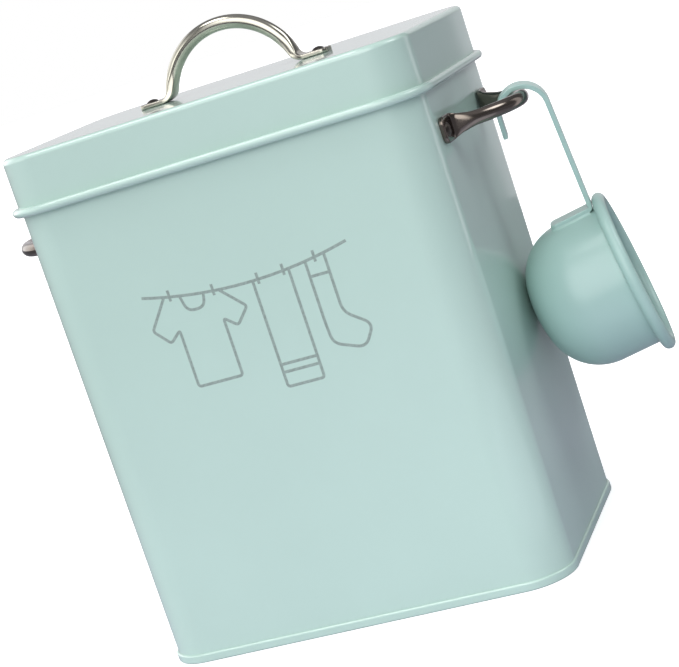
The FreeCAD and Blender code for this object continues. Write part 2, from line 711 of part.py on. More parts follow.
def build():
    """All pieces of the tin, as a list of nodes."""
    half_width, height = size("tin_width") / 2, value(SIDE_HANDLE_HEIGHT)
    up, rear = Vector(0, 0, 1), Vector(0, 1, 0)
    mounts = {
        "lid": Placement(Vector(0, 0, value(LID_TOP)), Rotation()),
        "right": Placement(Vector(half_width, 0, height), Rotation(rear, up, Vector(), "XYZ")),
        "left": Placement(Vector(-half_width, 0, height), Rotation(-rear, up, Vector(), "XYZ")),
    }
    nodes = [pierced("body_wall", make_wall(), wall_holes()), make_base()]
    nodes.append(pierced("lid", make_lid(), lid_holes()))
    for place, mount in mounts.items():
        nodes.append(make_handle(f"{place}_handle", mount))
        for side, end in ((-1, "first"), (1, "second")):
            nodes.append(make_rivet(f"{place}_rivet_{end}", mount, side))
    nodes += [make_bowl(), make_strip()]
    doc.recompute()
    return nodes


def check(nodes):
    """Stop unless every object is up to date and every node is one sound solid."""
    for item in doc.Objects:
        if {"Invalid", "Error"} & set(item.State):
            raise RuntimeError(f"{item.Label} did not recompute: {item.State}")
    for node in nodes:
        shape = node.Shape
        if shape.isNull() or not shape.isValid() or len(shape.Solids) != 1:
            raise RuntimeError(f"{node.Label} is not one sound solid")


pieces = build()
check(pieces)
for piece in pieces:
    piece.Shape.exportStep(f"parts/{piece.Label}.step")
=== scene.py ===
"""Laundry powder tin: the form and finish of every piece, around the packed model.

Metres, +Z up. The front faces -Y, and the scoop hangs on the right-hand handle at +X.
"""
import math

import bmesh
import bpy
from bpy.props import FloatProperty, FloatVectorProperty, PointerProperty
from bpy.types import Operator, Panel, PropertyGroup
from mathutils import Matrix, Vector


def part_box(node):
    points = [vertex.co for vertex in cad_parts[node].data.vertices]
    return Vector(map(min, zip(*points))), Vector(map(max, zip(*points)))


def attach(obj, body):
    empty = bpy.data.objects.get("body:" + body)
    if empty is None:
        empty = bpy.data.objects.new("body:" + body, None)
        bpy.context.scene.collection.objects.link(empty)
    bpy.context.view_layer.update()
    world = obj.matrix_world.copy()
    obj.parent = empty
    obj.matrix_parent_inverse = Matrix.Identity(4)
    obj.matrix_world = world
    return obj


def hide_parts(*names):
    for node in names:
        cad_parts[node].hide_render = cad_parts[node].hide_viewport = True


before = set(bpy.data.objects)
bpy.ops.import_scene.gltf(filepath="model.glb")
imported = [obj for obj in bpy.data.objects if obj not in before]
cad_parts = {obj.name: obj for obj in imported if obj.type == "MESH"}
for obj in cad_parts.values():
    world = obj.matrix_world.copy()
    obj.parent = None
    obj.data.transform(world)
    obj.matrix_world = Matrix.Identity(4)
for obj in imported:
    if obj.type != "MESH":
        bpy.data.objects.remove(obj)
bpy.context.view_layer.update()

bl_info = {
    "name": "Laundry Tin",
    "version": (1, 0, 0),
    "blender": (4, 5, 0),
    "location": "View3D > Sidebar > Tin",
    "description": "Builds a painted laundry tin with its handles, scoop and print",
    "category": "Add Mesh",
}

AXES = {"X": Vector((1, 0, 0)), "Y": Vector((0, 1, 0)), "Z": Vector((0, 0, 1))}
CORNER_STEPS = 20
MERGE = 1e-6
CREASE = math.radians(35)


# --- sizes and colours a user may change ---

def length(name, description, millimetres):
    """A length setting, given in millimetres and kept in metres."""
    return FloatProperty(
        name=name, description=description, default=millimetres / 1000, min=0, unit="LENGTH"
    )


def angle(name, description, degrees):
    """An angle setting, given in degrees."""
    return FloatProperty(
        name=name, description=description, default=math.radians(degrees), unit="ROTATION"
    )


def share(name, description, default):
    """A setting between nothing and all."""
    return FloatProperty(
        name=name, description=description, default=default, min=0, max=1, subtype="FACTOR"
    )


def colour(name, description, default):
    """A colour setting, in linear values."""
    return FloatVectorProperty(
        name=name, description=description, default=default, size=3, min=0, max=1, subtype="COLOR"
    )


class TinSizes(PropertyGroup):
    """Sheet-metal sizes of the tin and its lid."""

    corner: length("Corner radius", "Outside radius of the upright corners", 19)
    sheet: length("Sheet", "Thickness of the steel sheet", 0.6)
    safe_edge: length("Safe edge", "Diameter of the wall's rolled top edge", 3.2)
    lap: length("Lap", "Width of the rear seam", 7)
    lap_foot: length("Lap foot", "Bottom of the rear seam above the ground", 4)
    lap_edge: length("Lap edge", "Rounding of the rear seam's upright edges", 0.2)
    lid_edge: length("Lid edge", "Rounding around the lid's top", 2.5)
    lid_bead: length("Lid bead", "Diameter of the bead along the skirt", 3.8)
    clearance: length("Clearance", "Gap between the wall and the skirt", 0.3)
    hem_edge: length("Hem edge", "Rounding of the seam around the foot", 0.8)
    play: length("Play", "Play of the sheet in its seam", 0.05)
    floor_rise: length("Floor rise", "Underside of the floor above the ground", 2.6)


class HandleSizes(PropertyGroup):
    """Bow handle of round rod with pressed feet."""

    rod: length("Rod", "Diameter of the rod", 6.4)
    bow: length("Bow", "Radius of the bow's middle line", 31.8)
    sink: length("Sink", "Depth of the bow's centre behind the mounting face", 5.6)
    bend: length("Bend", "Radius of the bend into a foot", 5)
    foot_width: length("Foot width", "Width of a foot", 11.6)
    foot_thickness: length("Foot thickness", "Thickness of a foot", 2.2)
    foot_length: length("Foot length", "Flat length of a foot", 11.5)
    foot_corner: length("Foot corner", "Corner radius of a foot's end", 3)
    tip_thinning: share("Tip thinning", "Part of its thickness that a foot loses at its tip", 0.35)
    press: angle("Press", "Part of the bow over which the rod is pressed", 16)
    rivet_inset: length("Rivet inset", "Rivet from the end of a foot", 5.2)
    rivet: length("Rivet", "Diameter of a rivet's shank", 3.2)
    head: length("Head", "Diameter of a rivet's head", 6)
    head_height: length("Head height", "Height of a rivet's head", 1.2)
    tail_height: length("Tail height", "Height of a rivet's closed end", 0.9)


class ScoopSizes(PropertyGroup):
    """Hanging scoop: drawn bowl and bent strip."""

    radius: length("Radius", "Outside radius of the bowl's wall", 33.6)
    depth: length("Depth", "Depth below the middle of the rim", 47.4)
    crown: length("Crown", "Radius of the bottom", 60)
    corner: length("Corner", "Radius between wall and bottom", 25)
    sheet: length("Sheet", "Thickness of the bowl", 0.8)
    rim: length("Rim", "Diameter of the rolled rim", 5.6)
    strip_width: length("Strip width", "Width of the strip", 10)
    strip: length("Strip", "Thickness of the strip", 2.1)
    strip_edge: length("Strip edge", "Rounding along the strip", 0.4)
    end_corner: length("End corner", "Corner radius at the hook's free end", 0.6)
    end_ease: length("End ease", "Rounding of the strip's ends through their thickness", 0.5)
    hook: length("Hook", "Radius of the hook's middle line", 10.9)
    hook_leg: length("Hook leg", "Straight free end of the hook", 8.9)
    hook_clearance: length("Hook clearance", "Play between hook and rod", 0.7)
    hook_lean: angle("Hook lean", "How far the hook's crown sits inwards of the rod", 8)
    hook_offset: length("Hook offset", "Hook behind the middle of the handle", 6.6)
    fold: length("Fold", "Radius of the fold into the tab", 1.4)
    foot_gap: length("Foot gap", "Gap between the shank's foot and the rolled rim", 0.2)
    tab_corner: length("Tab corner", "Corner radius at the end of the tab", 2.4)
    tab: length("Tab", "Length of the tab on the bowl", 19.4)
    weld: length("Weld gap", "Paint between tab and bowl", 0.05)
    weld_start: length("Weld start", "How far behind the fold the weld starts", 1)
    drop: length("Drop", "Middle of the rim below the top of the rod", 93.1)
    rest: length("Rest gap", "Gap where the scoop leans on the wall", 0.15)
    yaw: angle("Yaw", "Turn of the hanging scoop to the rear", 10)
    pitch: angle("Pitch", "How far the mouth looks up", 9.7)
    tilt: angle("Tilt", "Swing of the scoop to the rear below its hook", 5)


class PrintSizes(PropertyGroup):
    """Line drawing printed on the front."""

    stroke: length("Stroke", "Width of a printed line", 1.3)
    film: length("Film", "Thickness of the ink", 0.04)
    height: length("Height", "Middle of the drawing above the foot", 136)


class Finishes(PropertyGroup):
    """Colours and gloss of paint, plating, rivets and ink; the scoop's paint, the side handles' plating
    and the rivets are darkened as painted shade.
    """

    paint: colour("Paint", "Pale green enamel", (0.480, 0.650, 0.585))
    # the scoop's paint is the tin's enamel made darker: painted shade
    scoop_paint: colour("Scoop paint", "Deeper enamel of the scoop", (0.375, 0.558, 0.515))
    paint_roughness: share("Paint roughness", "Blur of the enamel under its clear coat", 0.3)
    nickel: colour("Nickel", "Satin nickel plate of the lid's handle", (0.45, 0.435, 0.37))
    # the side handles' plate is the same nickel made darker: painted shade
    nickel_painted_shade: colour("Dark nickel", "Smoked nickel plate of the side handles", (0.21, 0.18, 0.155))
    nickel_roughness: share("Nickel roughness", "Blur of the plate's reflections", 0.13)
    # the rivets' steel is made darker: painted shade
    rivet: colour("Rivet", "Darker rivet steel", (0.11, 0.098, 0.085))
    ink: colour("Ink", "Grey ink of the drawing", (0.235, 0.30, 0.275))


class StageSettings(PropertyGroup):
    """Camera, floor and light."""

    azimuth: angle("Azimuth", "Camera's way round the tin", 19.12)
    elevation: angle("Elevation", "Camera's height above the horizon", 9.6)
    roll: angle("Roll", "Tilt of the picture", 18.46)
    distance: length("Distance", "Camera from its target", 941.01)
    aim: FloatVectorProperty(
        name="Aim", description="Point the camera looks at", default=(0.00871, 0, 0.11622), subtype="XYZ"
    )
    lens: FloatProperty(name="Lens", description="Focal length", default=109.38, min=1, unit="CAMERA")


GROUPS = {
    "tin_sizes": TinSizes,
    "tin_handles": HandleSizes,
    "tin_scoop": ScoopSizes,
    "tin_print": PrintSizes,
    "tin_finishes": Finishes,
    "tin_stage": StageSettings,
}


# --- drawing and sweeping sections ---

def arc(bm, vert, centre, axis, degrees, steps):
    """Draw an arc from a vertex; returns its far end."""
    made = bmesh.ops.spin(
        bm, geom=[vert], cent=centre, axis=axis, angle=math.radians(degrees), steps=steps, use_merge=False
    )
    return next(item for item in made["geom_last"] if isinstance(item, bmesh.types.BMVert))


def run(bm, vert, end):
    """Draw a straight line from a vertex; returns its far end."""
    far = bmesh.ops.extrude_vert_indiv(bm, verts=[vert])["verts"][0]
    far.co = end
    return far


def edges_of(geometry):
    """The edges among some geometry."""
    return [item for item in geometry if isinstance(item, bmesh.types.BMEdge)]


def verts_of(geometry):
    """The vertices among some geometry."""
    return [item for item in geometry if isinstance(item, bmesh.types.BMVert)]


def push(bm, edges, offset):
    """Sweep edges along a straight offset; returns the edges at the far end."""
    made = bmesh.ops.extrude_edge_only(bm, edges=edges)["geom"]
    bmesh.ops.translate(bm, verts=verts_of(made), vec=offset)
    return edges_of(made)


def turn(bm, edges, centre, axis, degrees, steps):
    """Sweep edges round an axis; returns the edges at the far end."""
    made = bmesh.ops.spin(
        bm, geom=edges, cent=centre, axis=axis, angle=math.radians(degrees), steps=steps, use_merge=False
    )
    return edges_of(made["geom_last"])


def full_turn(bm, steps):
    """Turn everything drawn once round Z, and close its poles."""
    bmesh.ops.spin(
        bm,
        geom=bm.verts[:] + bm.edges[:],
        cent=Vector(),
        axis=AXES["Z"],
        angle=math.tau,
        steps=steps,
        use_merge=True,
    )
    settle(bm)


def settle(bm):
    """Merge what meets and point every face outwards."""
    bmesh.ops.remove_doubles(bm, verts=bm.verts[:], dist=MERGE)
    bmesh.ops.recalc_face_normals(bm, faces=bm.faces[:])


def ease(bm, geometry, reach, segments, affect):
    """Round off edges, or a section's corners."""
    bmesh.ops.bevel(
        bm, geom=geometry, offset=reach, segments=segments, profile=0.5, affect=affect, material=-1
    )


def round_the_tin(bm, width, depth, radius):
    """Sweep the section drawn at the left end of the front side once round the tin."""
    reach = (width / 2 - radius, depth / 2 - radius)
    edges = bm.edges[:]
    for side in range(4):
        turned = Matrix.Rotation(side * math.pi / 2, 3, "Z")
        along, across = reach[side % 2], reach[1 - side % 2]
        edges = push(bm, edges, turned @ AXES["X"] * 2 * along)
        edges = turn(bm, edges, turned @ Vector((along, -across, 0)), AXES["Z"], 90, CORNER_STEPS)
    bmesh.ops.remove_doubles(bm, verts=bm.verts[:], dist=MERGE)
    bmesh.ops.holes_fill(bm, edges=[edge for edge in bm.edges if edge.is_boundary], sides=0)
    settle(bm)


def new_mesh(name, bm, material):
    """Mesh of what was built, in its material."""
    mesh = bpy.data.meshes.new(name)
    bm.to_mesh(mesh)
    bm.free()
    mesh.materials.append(material)
    return mesh


def new_object(name, data):
    """Put an object into the scene."""
    item = bpy.data.objects.new(name, data)
    bpy.context.scene.collection.objects.link(item)
    return item


def finish_piece(name, bm, material, body, node):
    """Turn a mesh into a piece with its material, body, slot and the node it stands for."""
    for face in bm.faces:
        face.smooth = True
    for edge in bm.edges:
        edge.smooth = not (len(edge.link_faces) == 2 and edge.calc_face_angle() > CREASE)
    piece = new_object(name, new_mesh(name, bm, material))
    weighted = piece.modifiers.new("Weighted normals", "WEIGHTED_NORMAL")
    weighted.keep_sharp = True
    weighted.weight = 100
    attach(piece, body)
    if node:
        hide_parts(node)


# --- materials ---

def new_material(name):
    """Empty material with a Principled shader; returns it, its nodes and the shader."""
    material = bpy.data.materials.new(name)
    material.use_nodes = True
    tree = material.node_tree
    shader = tree.nodes["Principled BSDF"]
    return material, tree, shader


def add_node(tree, kind, **values):
    """Add a node and set its properties and inputs by name."""
    node = tree.nodes.new(kind)
    for key, value in values.items():
        if key in node.inputs:
            node.inputs[key].default_value = value
        else:
            setattr(node, key, value)
    return node


def noise(tree, scale, detail):
    """Noise on the piece's own coordinates."""
    coordinates = add_node(tree, "ShaderNodeTexCoord")
    texture = add_node(tree, "ShaderNodeTexNoise", Scale=scale, Detail=detail)
    tree.links.new(coordinates.outputs["Object"], texture.inputs["Vector"])
    return texture.outputs["Fac"]


def blend_colours(tree, factor, first, second, low=0.35, high=0.65):
    """Colour that runs from one to the other as the factor rises."""
    ramp = add_node(tree, "ShaderNodeValToRGB")
    ramp.color_ramp.elements[0].position = low
    ramp.color_ramp.elements[0].color = (*first, 1)
    ramp.color_ramp.elements[1].position = high
    ramp.color_ramp.elements[1].color = (*second, 1)
    tree.links.new(factor, ramp.inputs["Fac"])
    return ramp.outputs["Color"]


def spread(tree, factor, low, high):
    """The factor spread over a range of values."""
    node = add_node(tree, "ShaderNodeMapRange", **{"To Min": low, "To Max": high})
    tree.links.new(factor, node.inputs["Value"])
    return node.outputs["Result"]


def cover(tree, shader, tint, roughness):
    """Give a shader its colour and its roughness."""
    tree.links.new(tint, shader.inputs["Base Color"])
    tree.links.new(roughness, shader.inputs["Roughness"])


def rough_up(tree, shader, height, strength, distance):
    """Bump a shader by a height."""
    bump = add_node(tree, "ShaderNodeBump", Strength=strength, Distance=distance)
    tree.links.new(height, bump.inputs["Height"])
    tree.links.new(bump.outputs["Normal"], shader.inputs["Normal"])


def enamel():
    """Pale green enamel of the tin and its lid."""
    return painted("enamel", bpy.context.scene.tin_finishes.paint, skin=0.9, blur=0.06)


def enamel_of_scoop_painted_shade():
    """Scoop enamel: the tin's green made darker as painted shade."""
    return painted("enamel_of_scoop_painted_shade", bpy.context.scene.tin_finishes.scoop_paint, skin=0.4, blur=0.25)


def painted(name, tone, skin, blur):
    """Enamel: even colour with faint clouding under a glossy skin of very fine orange peel."""
    material, tree, shader = new_material(name)
    deep = tuple(channel * 0.98 for channel in tone)
    tint = blend_colours(tree, noise(tree, 14, 3), deep, tone)
    rough = bpy.context.scene.tin_finishes.paint_roughness
    cover(tree, shader, tint, spread(tree, noise(tree, 60, 3), rough - 0.03, rough + 0.05))
    rough_up(tree, shader, noise(tree, 500, 1), 0.05, 0.00005)
    shader.inputs["IOR"].default_value = 1.45
    shader.inputs["Coat Weight"].default_value = skin
    shader.inputs["Coat Roughness"].default_value = blur
    return material


def satin_nickel():
    """Satin nickel plate of the lid's handle."""
    return plating("satin_nickel", bpy.context.scene.tin_finishes.nickel)


def nickel_painted_shade():
    """Side handles' plate: the lid handle's nickel made darker as painted shade."""
    return plating("nickel_painted_shade", bpy.context.scene.tin_finishes.nickel_painted_shade)


def plating(name, tone):
    """Plated metal: brighter and duller in soft patches, with a faint grain."""
    material, tree, shader = new_material(name)
    shader.inputs["Metallic"].default_value = 1
    dull = tuple(channel * 0.8 for channel in tone)
    tint = blend_colours(tree, noise(tree, 90, 3), dull, tone, low=0.3, high=0.6)
    rough = bpy.context.scene.tin_finishes.nickel_roughness
    cover(tree, shader, tint, spread(tree, noise(tree, 240, 2), rough - 0.03, rough + 0.05))
    rough_up(tree, shader, noise(tree, 700, 2), 0.08, 0.00004)
    return material


def rivet_painted_shade():
    """Plated steel of the rivets, made darker as painted shade, a little rougher on its dome."""
    finishes = bpy.context.scene.tin_finishes
    material, tree, shader = new_material("rivet_painted_shade")
    shader.inputs["Metallic"].default_value = 1
    dark = tuple(channel * 0.7 for channel in finishes.rivet)
    tint = blend_colours(tree, noise(tree, 700, 3), dark, finishes.rivet)
    cover(tree, shader, tint, spread(tree, noise(tree, 1500, 2), 0.22, 0.4))
    rough_up(tree, shader, noise(tree, 3000, 2), 0.15, 0.00003)
    return material


def grey_ink():
    """Matt grey ink, a little uneven as screen print is."""
    finishes = bpy.context.scene.tin_finishes
    material, tree, shader = new_material("grey_ink")
    light = tuple(min(1, channel * 1.25) for channel in finishes.ink)
    tint = blend_colours(tree, noise(tree, 900, 3), finishes.ink, light)
    cover(tree, shader, tint, spread(tree, noise(tree, 1500, 2), 0.45, 0.6))
    rough_up(tree, shader, noise(tree, 4000, 2), 0.1, 0.00002)
    return material


def once(make):
    """The material that a function of its name makes, made when it is first needed."""
    return bpy.data.materials.get(make.__name__) or make()


# --- operators: sheet metal ---

class TinPiece:
    """What the operators of this tin share."""

    bl_options = {"REGISTER", "UNDO"}

    @classmethod
    def poll(cls, context):
        return hasattr(context.scene, "tin_sizes")


def tin_plan():
    """Width, depth and corner radius of the wall in plan."""
    low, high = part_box("body_wall")
    return high.x - low.x, high.y - low.y, bpy.context.scene.tin_sizes.corner


def section_point(offset, height):
    """Point of a section drawn at the left end of the front side."""
    width, depth, radius = tin_plan()
    return Vector((radius - width / 2, -depth / 2 - offset, height))


class TIN_OT_wall(TinPiece, Operator):
    """Build the wrapped wall with its rolled top edge and rear lap"""

    bl_idname = "tin.wall"
    bl_label = "Wall"

    def execute(self, context):
        sizes = context.scene.tin_sizes
        low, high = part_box("body_wall")
        roll = sizes.safe_edge / 2
        inside = roll - sizes.sheet
        bm = bmesh.new()
        start = bm.verts.new(section_point(0, low.z))
        vert = run(bm, start, section_point(0, high.z - roll))
        closing = math.degrees(math.acos(inside / roll))
        vert = arc(bm, vert, section_point(-roll, high.z - roll), AXES["X"], closing - 360, steps=32)
        vert = run(bm, vert, section_point(-sizes.sheet, low.z))
        bmesh.ops.contextual_create(bm, geom=[vert, start])
        round_the_tin(bm, *tin_plan())
        self.lap(bm, sizes, high)
        finish_piece("wall", bm, once(enamel), "tin", "body_wall")
        return {"FINISHED"}

    def lap(self, bm, sizes, high):
        """Inner layer of the rear seam, which reaches a little into the wall's sheet."""
        height = high.z - sizes.safe_edge - sizes.lap_foot
        place = Matrix.Translation((0, high.y - 1.5 * sizes.sheet, sizes.lap_foot + height / 2))
        shape = Matrix.Diagonal((sizes.lap, 1.02 * sizes.sheet, height, 1))
        layer = bmesh.ops.create_cube(bm, size=1, matrix=place @ shape)
        around = {edge for vert in layer["verts"] for edge in vert.link_edges}
        upright = [edge for edge in around if abs(edge.verts[0].co.z - edge.verts[1].co.z) > height / 2]
        ease(bm, upright, sizes.lap_edge, 2, "EDGES")


class TIN_OT_base(TinPiece, Operator):
    """Build the bottom panel with the seam around its foot"""

    bl_idname = "tin.base"
    bl_label = "Base"

    def execute(self, context):
        sizes = context.scene.tin_sizes
        low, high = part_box("base_panel")
        proud = high.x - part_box("body_wall")[1].x
        sheet, play, edge = sizes.sheet, sizes.play, sizes.hem_edge
        held = -sheet - play
        bm = bmesh.new()
        vert = bm.verts.new(section_point(held, low.z + sizes.floor_rise + sheet))
        vert = run(bm, vert, section_point(held, low.z + sheet))
        vert = run(bm, vert, section_point(play, low.z + sheet))
        vert = run(bm, vert, section_point(play, high.z))
        vert = run(bm, vert, section_point(proud - edge, high.z))
        vert = arc(bm, vert, section_point(proud - edge, high.z - edge), AXES["X"], 90, steps=8)
        vert = run(bm, vert, section_point(proud, low.z + edge))
        vert = arc(bm, vert, section_point(proud - edge, low.z + edge), AXES["X"], 90, steps=8)
        vert = run(bm, vert, section_point(held - sheet, low.z))
        run(bm, vert, section_point(held - sheet, low.z + sizes.floor_rise))
        round_the_tin(bm, *tin_plan())
        finish_piece("base", bm, once(enamel), "tin", "base_panel")
        return {"FINISHED"}


class TIN_OT_lid(TinPiece, Operator):
    """Build the lid: soft top edge, skirt and the bead rolled outwards"""

    bl_idname = "tin.lid"
    bl_label = "Lid"

    def execute(self, context):
        sizes = context.scene.tin_sizes
        low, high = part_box("lid")
        gap, sheet, edge, bead = sizes.clearance, sizes.sheet, sizes.lid_edge, sizes.lid_bead / 2
        skirt = gap + sheet
        inner_edge = edge - sheet
        bead_height = low.z + bead
        meeting = math.acos((bead - sheet) / bead)
        bm = bmesh.new()
        vert = bm.verts.new(section_point(skirt - edge, high.z))
        vert = arc(bm, vert, section_point(skirt - edge, high.z - edge), AXES["X"], 90, steps=10)
        vert = run(bm, vert, section_point(skirt, bead_height + bead * math.sin(meeting)))
        rolled = 360 - math.degrees(meeting)
        vert = arc(bm, vert, section_point(gap + bead, bead_height), AXES["X"], rolled, steps=36)
        vert = run(bm, vert, section_point(gap, high.z - edge))
        arc(bm, vert, section_point(gap - inner_edge, high.z - edge), AXES["X"], -90, steps=10)
        round_the_tin(bm, *tin_plan())
        finish_piece("lid_cap", bm, once(enamel), "lid", "lid")
        return {"FINISHED"}


# --- operators: handles and rivets ---

BOW_STEPS = 24  # along the round part of half the bow
PRESS_STEPS = 8  # along the pressed part of the bow, and again along the bend
TIP_STEPS = 10  # round the end of a foot
TIP_SHARPNESS = 6  # how late a foot thins towards its tip
ROUND, SQUARE = 2, 6  # squareness of a section: an ellipse, and nearly a rectangle


def mounts():
    """Where each handle stands: its own Z points out of the tin, its own X along the feet."""
    lid, right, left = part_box("lid_handle"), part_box("right_handle"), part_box("left_handle")
    height = (right[0].z + right[1].z) / 2
    return {
        "lid": Matrix.Translation((0, 0, lid[0].z)),
        "right": Matrix.Translation((right[0].x, 0, height)) @ frame_matrix(AXES["Y"], AXES["Z"]),
        "left": Matrix.Translation((left[1].x, 0, height)) @ frame_matrix(-AXES["Y"], AXES["Z"]),
    }


def frame_matrix(x_axis, y_axis):
    """Turn that takes X and Y to the given axes."""
    return Matrix((x_axis, y_axis, x_axis.cross(y_axis))).transposed().to_4x4()


def bow_half_angle(sizes):
    """Angle from the crown at which the bow meets the bend into its foot."""
    return math.acos((sizes.sink + sizes.bend + sizes.foot_thickness / 2) / (sizes.bow + sizes.bend))


def flat_start(sizes):
    """Distance from the handle's middle to where a foot becomes flat."""
    return (sizes.bow + sizes.bend) * math.sin(bow_half_angle(sizes))


def rod_sections(sizes):
    """Sections of half the handle: middle, slope, half width, half thickness and squareness."""
    half = bow_half_angle(sizes)
    round_until = half - sizes.press
    rod, wide, thin = sizes.rod / 2, sizes.foot_width / 2, sizes.foot_thickness / 2
    sections = []
    for step in range(BOW_STEPS + 1):
        slope = round_until * step / BOW_STEPS
        sections.append((on_bow(sizes, slope), slope, rod, rod, ROUND))
    path = []
    for step in range(1, PRESS_STEPS + 1):
        slope = round_until + sizes.press * step / PRESS_STEPS
        path.append((on_bow(sizes, slope), slope))
    for step in range(1, PRESS_STEPS + 1):
        slope = half * (1 - step / PRESS_STEPS)
        middle = Vector((flat_start(sizes) - sizes.bend * math.sin(slope), 0, 0))
        middle.z = thin + sizes.bend * (1 - math.cos(slope))
        path.append((middle, slope))
    for step, (middle, slope) in enumerate(path, start=1):
        part = 0.5 - 0.5 * math.cos(math.pi * step / len(path))
        half_width, half_height = rod + part * (wide - rod), rod + part * (thin - rod)
        sections.append((middle, slope, half_width, half_height, ROUND + part * (SQUARE - ROUND)))
    end = flat_start(sizes) + sizes.foot_length
    corner = sizes.foot_corner
    for step in range(TIP_STEPS + 1):
        reach = corner * math.sin(math.pi / 2 * step / TIP_STEPS)
        narrow = wide - corner + math.sqrt(max(corner**2 - reach**2, 0))
        low = thin * (1 - sizes.tip_thinning * (step / TIP_STEPS) ** TIP_SHARPNESS)
        sections.append((Vector((end - corner + reach, 0, low)), 0, narrow, low, SQUARE))
    return sections


def on_bow(sizes, slope):
    """Point on the bow's middle line, by its angle from the crown."""
    return Vector((sizes.bow * math.sin(slope), 0, sizes.bow * math.cos(slope) - sizes.sink))


def superellipse(angle, half_width, half_height, squareness):
    """Point on a rounded outline between an ellipse and a rectangle."""
    x, y = math.cos(angle), math.sin(angle)
    power = 2 / squareness
    return (
        math.copysign(abs(x) ** power, x) * half_width,
        math.copysign(abs(y) ** power, y) * half_height,
    )


def bow_handle():
    """Mesh of one handle standing on z = 0."""
    sizes = bpy.context.scene.tin_handles
    bm = bmesh.new()
    round_part = bm.verts.layers.float.new("round")
    ring = bmesh.ops.create_circle(bm, segments=40, radius=1)["verts"]
    for vert in ring:
        vert[round_part] = math.atan2(vert.co.y, vert.co.x)
    edges = bm.edges[:]
    for number, (middle, slope, half_width, half_height, squareness) in enumerate(rod_sections(sizes)):
        if number:
            made = bmesh.ops.extrude_edge_only(bm, edges=edges)["geom"]
            edges, ring = edges_of(made), verts_of(made)
        outwards = Vector((math.sin(slope), 0, math.cos(slope)))
        for vert in ring:
            across, up = superellipse(vert[round_part], half_width, half_height, squareness)
            vert.co = middle + AXES["Y"] * across + outwards * up
            vert.co.z = max(vert.co.z, 0)
    bmesh.ops.contextual_create(bm, geom=edges)
    bmesh.ops.mirror(bm, geom=bm.verts[:] + bm.edges[:] + bm.faces[:], axis="X", merge_dist=MERGE)
    settle(bm)
    return bm


class TIN_OT_handles(TinPiece, Operator):
    """Build the three bow handles, each pressed flat at both ends"""

    bl_idname = "tin.handles"
    bl_label = "Handles"

    def execute(self, context):
        for place, mount in mounts().items():
            bm = bow_handle()
            bmesh.ops.transform(bm, matrix=mount, verts=bm.verts[:])
            if place == "lid":
                body, material = "lid", once(satin_nickel)
            else:
                # side handles take the darker nickel: painted shade
                body, material = "tin", once(nickel_painted_shade)
            finish_piece(f"bow_{place}", bm, material, body, f"{place}_handle")
        return {"FINISHED"}


class TIN_OT_rivets(TinPiece, Operator):
    """Build the six rivets with domed heads and closed ends"""

    bl_idname = "tin.rivets"
    bl_label = "Rivets"

    def execute(self, context):
        sizes = context.scene.tin_handles
        material = once(rivet_painted_shade)
        reach = flat_start(sizes) + sizes.foot_length - sizes.rivet_inset
        for place, mount in mounts().items():
            body = "lid" if place == "lid" else "tin"
            for end, side in (("first", -1), ("second", 1)):
                bm = self.rivet(sizes, context.scene.tin_sizes.sheet)
                hole = mount @ Matrix.Translation((side * reach, 0, 0))
                bmesh.ops.transform(bm, matrix=hole, verts=bm.verts[:])
                name, node = f"rivet_{place}_{end}", f"{place}_rivet_{end}"
                finish_piece(name, bm, material, body, node)
        return {"FINISHED"}

    def rivet(self, sizes, sheet):
        """Mesh of one rivet, turned about Z with the foot's seat at z = 0."""
        head, shank = sizes.head / 2, sizes.rivet / 2
        top = sizes.foot_thickness
        bm = bmesh.new()
        ball, sweep = self.dome(head, sizes.head_height)
        vert = bm.verts.new((0, 0, top + sizes.head_height))
        centre = Vector((0, 0, top + sizes.head_height - ball))
        vert = arc(bm, vert, centre, AXES["Y"], sweep, steps=8)
        vert = run(bm, vert, Vector((shank, 0, top)))
        vert = run(bm, vert, Vector((shank, 0, -sheet)))
        vert = run(bm, vert, Vector((head, 0, -sheet)))
        ball, sweep = self.dome(head, sizes.tail_height)
        centre = Vector((0, 0, ball - sheet - sizes.tail_height))
        arc(bm, vert, centre, AXES["Y"], sweep, steps=8)
        full_turn(bm, steps=32)
        return bm

    def dome(self, radius, height):
        """Ball radius of a dome and the angle from its top to its edge."""
        ball = (radius**2 + height**2) / (2 * height)
        return ball, math.degrees(math.asin(radius / ball))


# --- operators: scoop ---

def scoop_frame():
    """Place of the scoop's own plane: X outwards, Z up, origin in the middle of the handle's rod."""
    scoop, handle = bpy.context.scene.tin_scoop, bpy.context.scene.tin_handles
    low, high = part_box("right_handle")
    reach = low.x - handle.sink + math.sqrt(handle.bow**2 - scoop.hook_offset**2)
    place = Matrix.Translation((reach, scoop.hook_offset, (low.z + high.z) / 2))
    return place @ Matrix.Rotation(scoop.yaw, 4, "Z") @ Matrix.Rotation(scoop.tilt, 4, "X")


def mouth_direction():
    """Direction of the bowl's axis in the scoop's plane."""
    pitch = bpy.context.scene.tin_scoop.pitch
    return Vector((math.cos(pitch), 0, math.sin(pitch)))


def rim_middle():
    """Middle of the rim in the scoop's plane, such that the crown of its bottom leans on the wall."""
    scoop, handle = bpy.context.scene.tin_scoop, bpy.context.scene.tin_handles
    frame_of_scoop = scoop_frame()
    to_ball = mouth_direction() * (scoop.crown - scoop.depth)
    height = handle.rod / 2 - scoop.drop
    outwards, upwards = frame_of_scoop.col[0].x, frame_of_scoop.col[2].x
    ball_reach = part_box("body_wall")[1].x + scoop.rest + scoop.crown
    along = (ball_reach - frame_of_scoop.translation.x - upwards * (height + to_ball.z)) / outwards
    return Vector((along - to_ball.x, 0, height))


def bowl_centres(scoop):
    """Heights of the middles of the bottom's arc and of the corner's arc over the rim's middle."""
    crown = scoop.crown - scoop.depth
    corner = crown - math.sqrt((scoop.crown - scoop.corner) ** 2 - (scoop.radius - scoop.corner) ** 2)
    return crown, corner


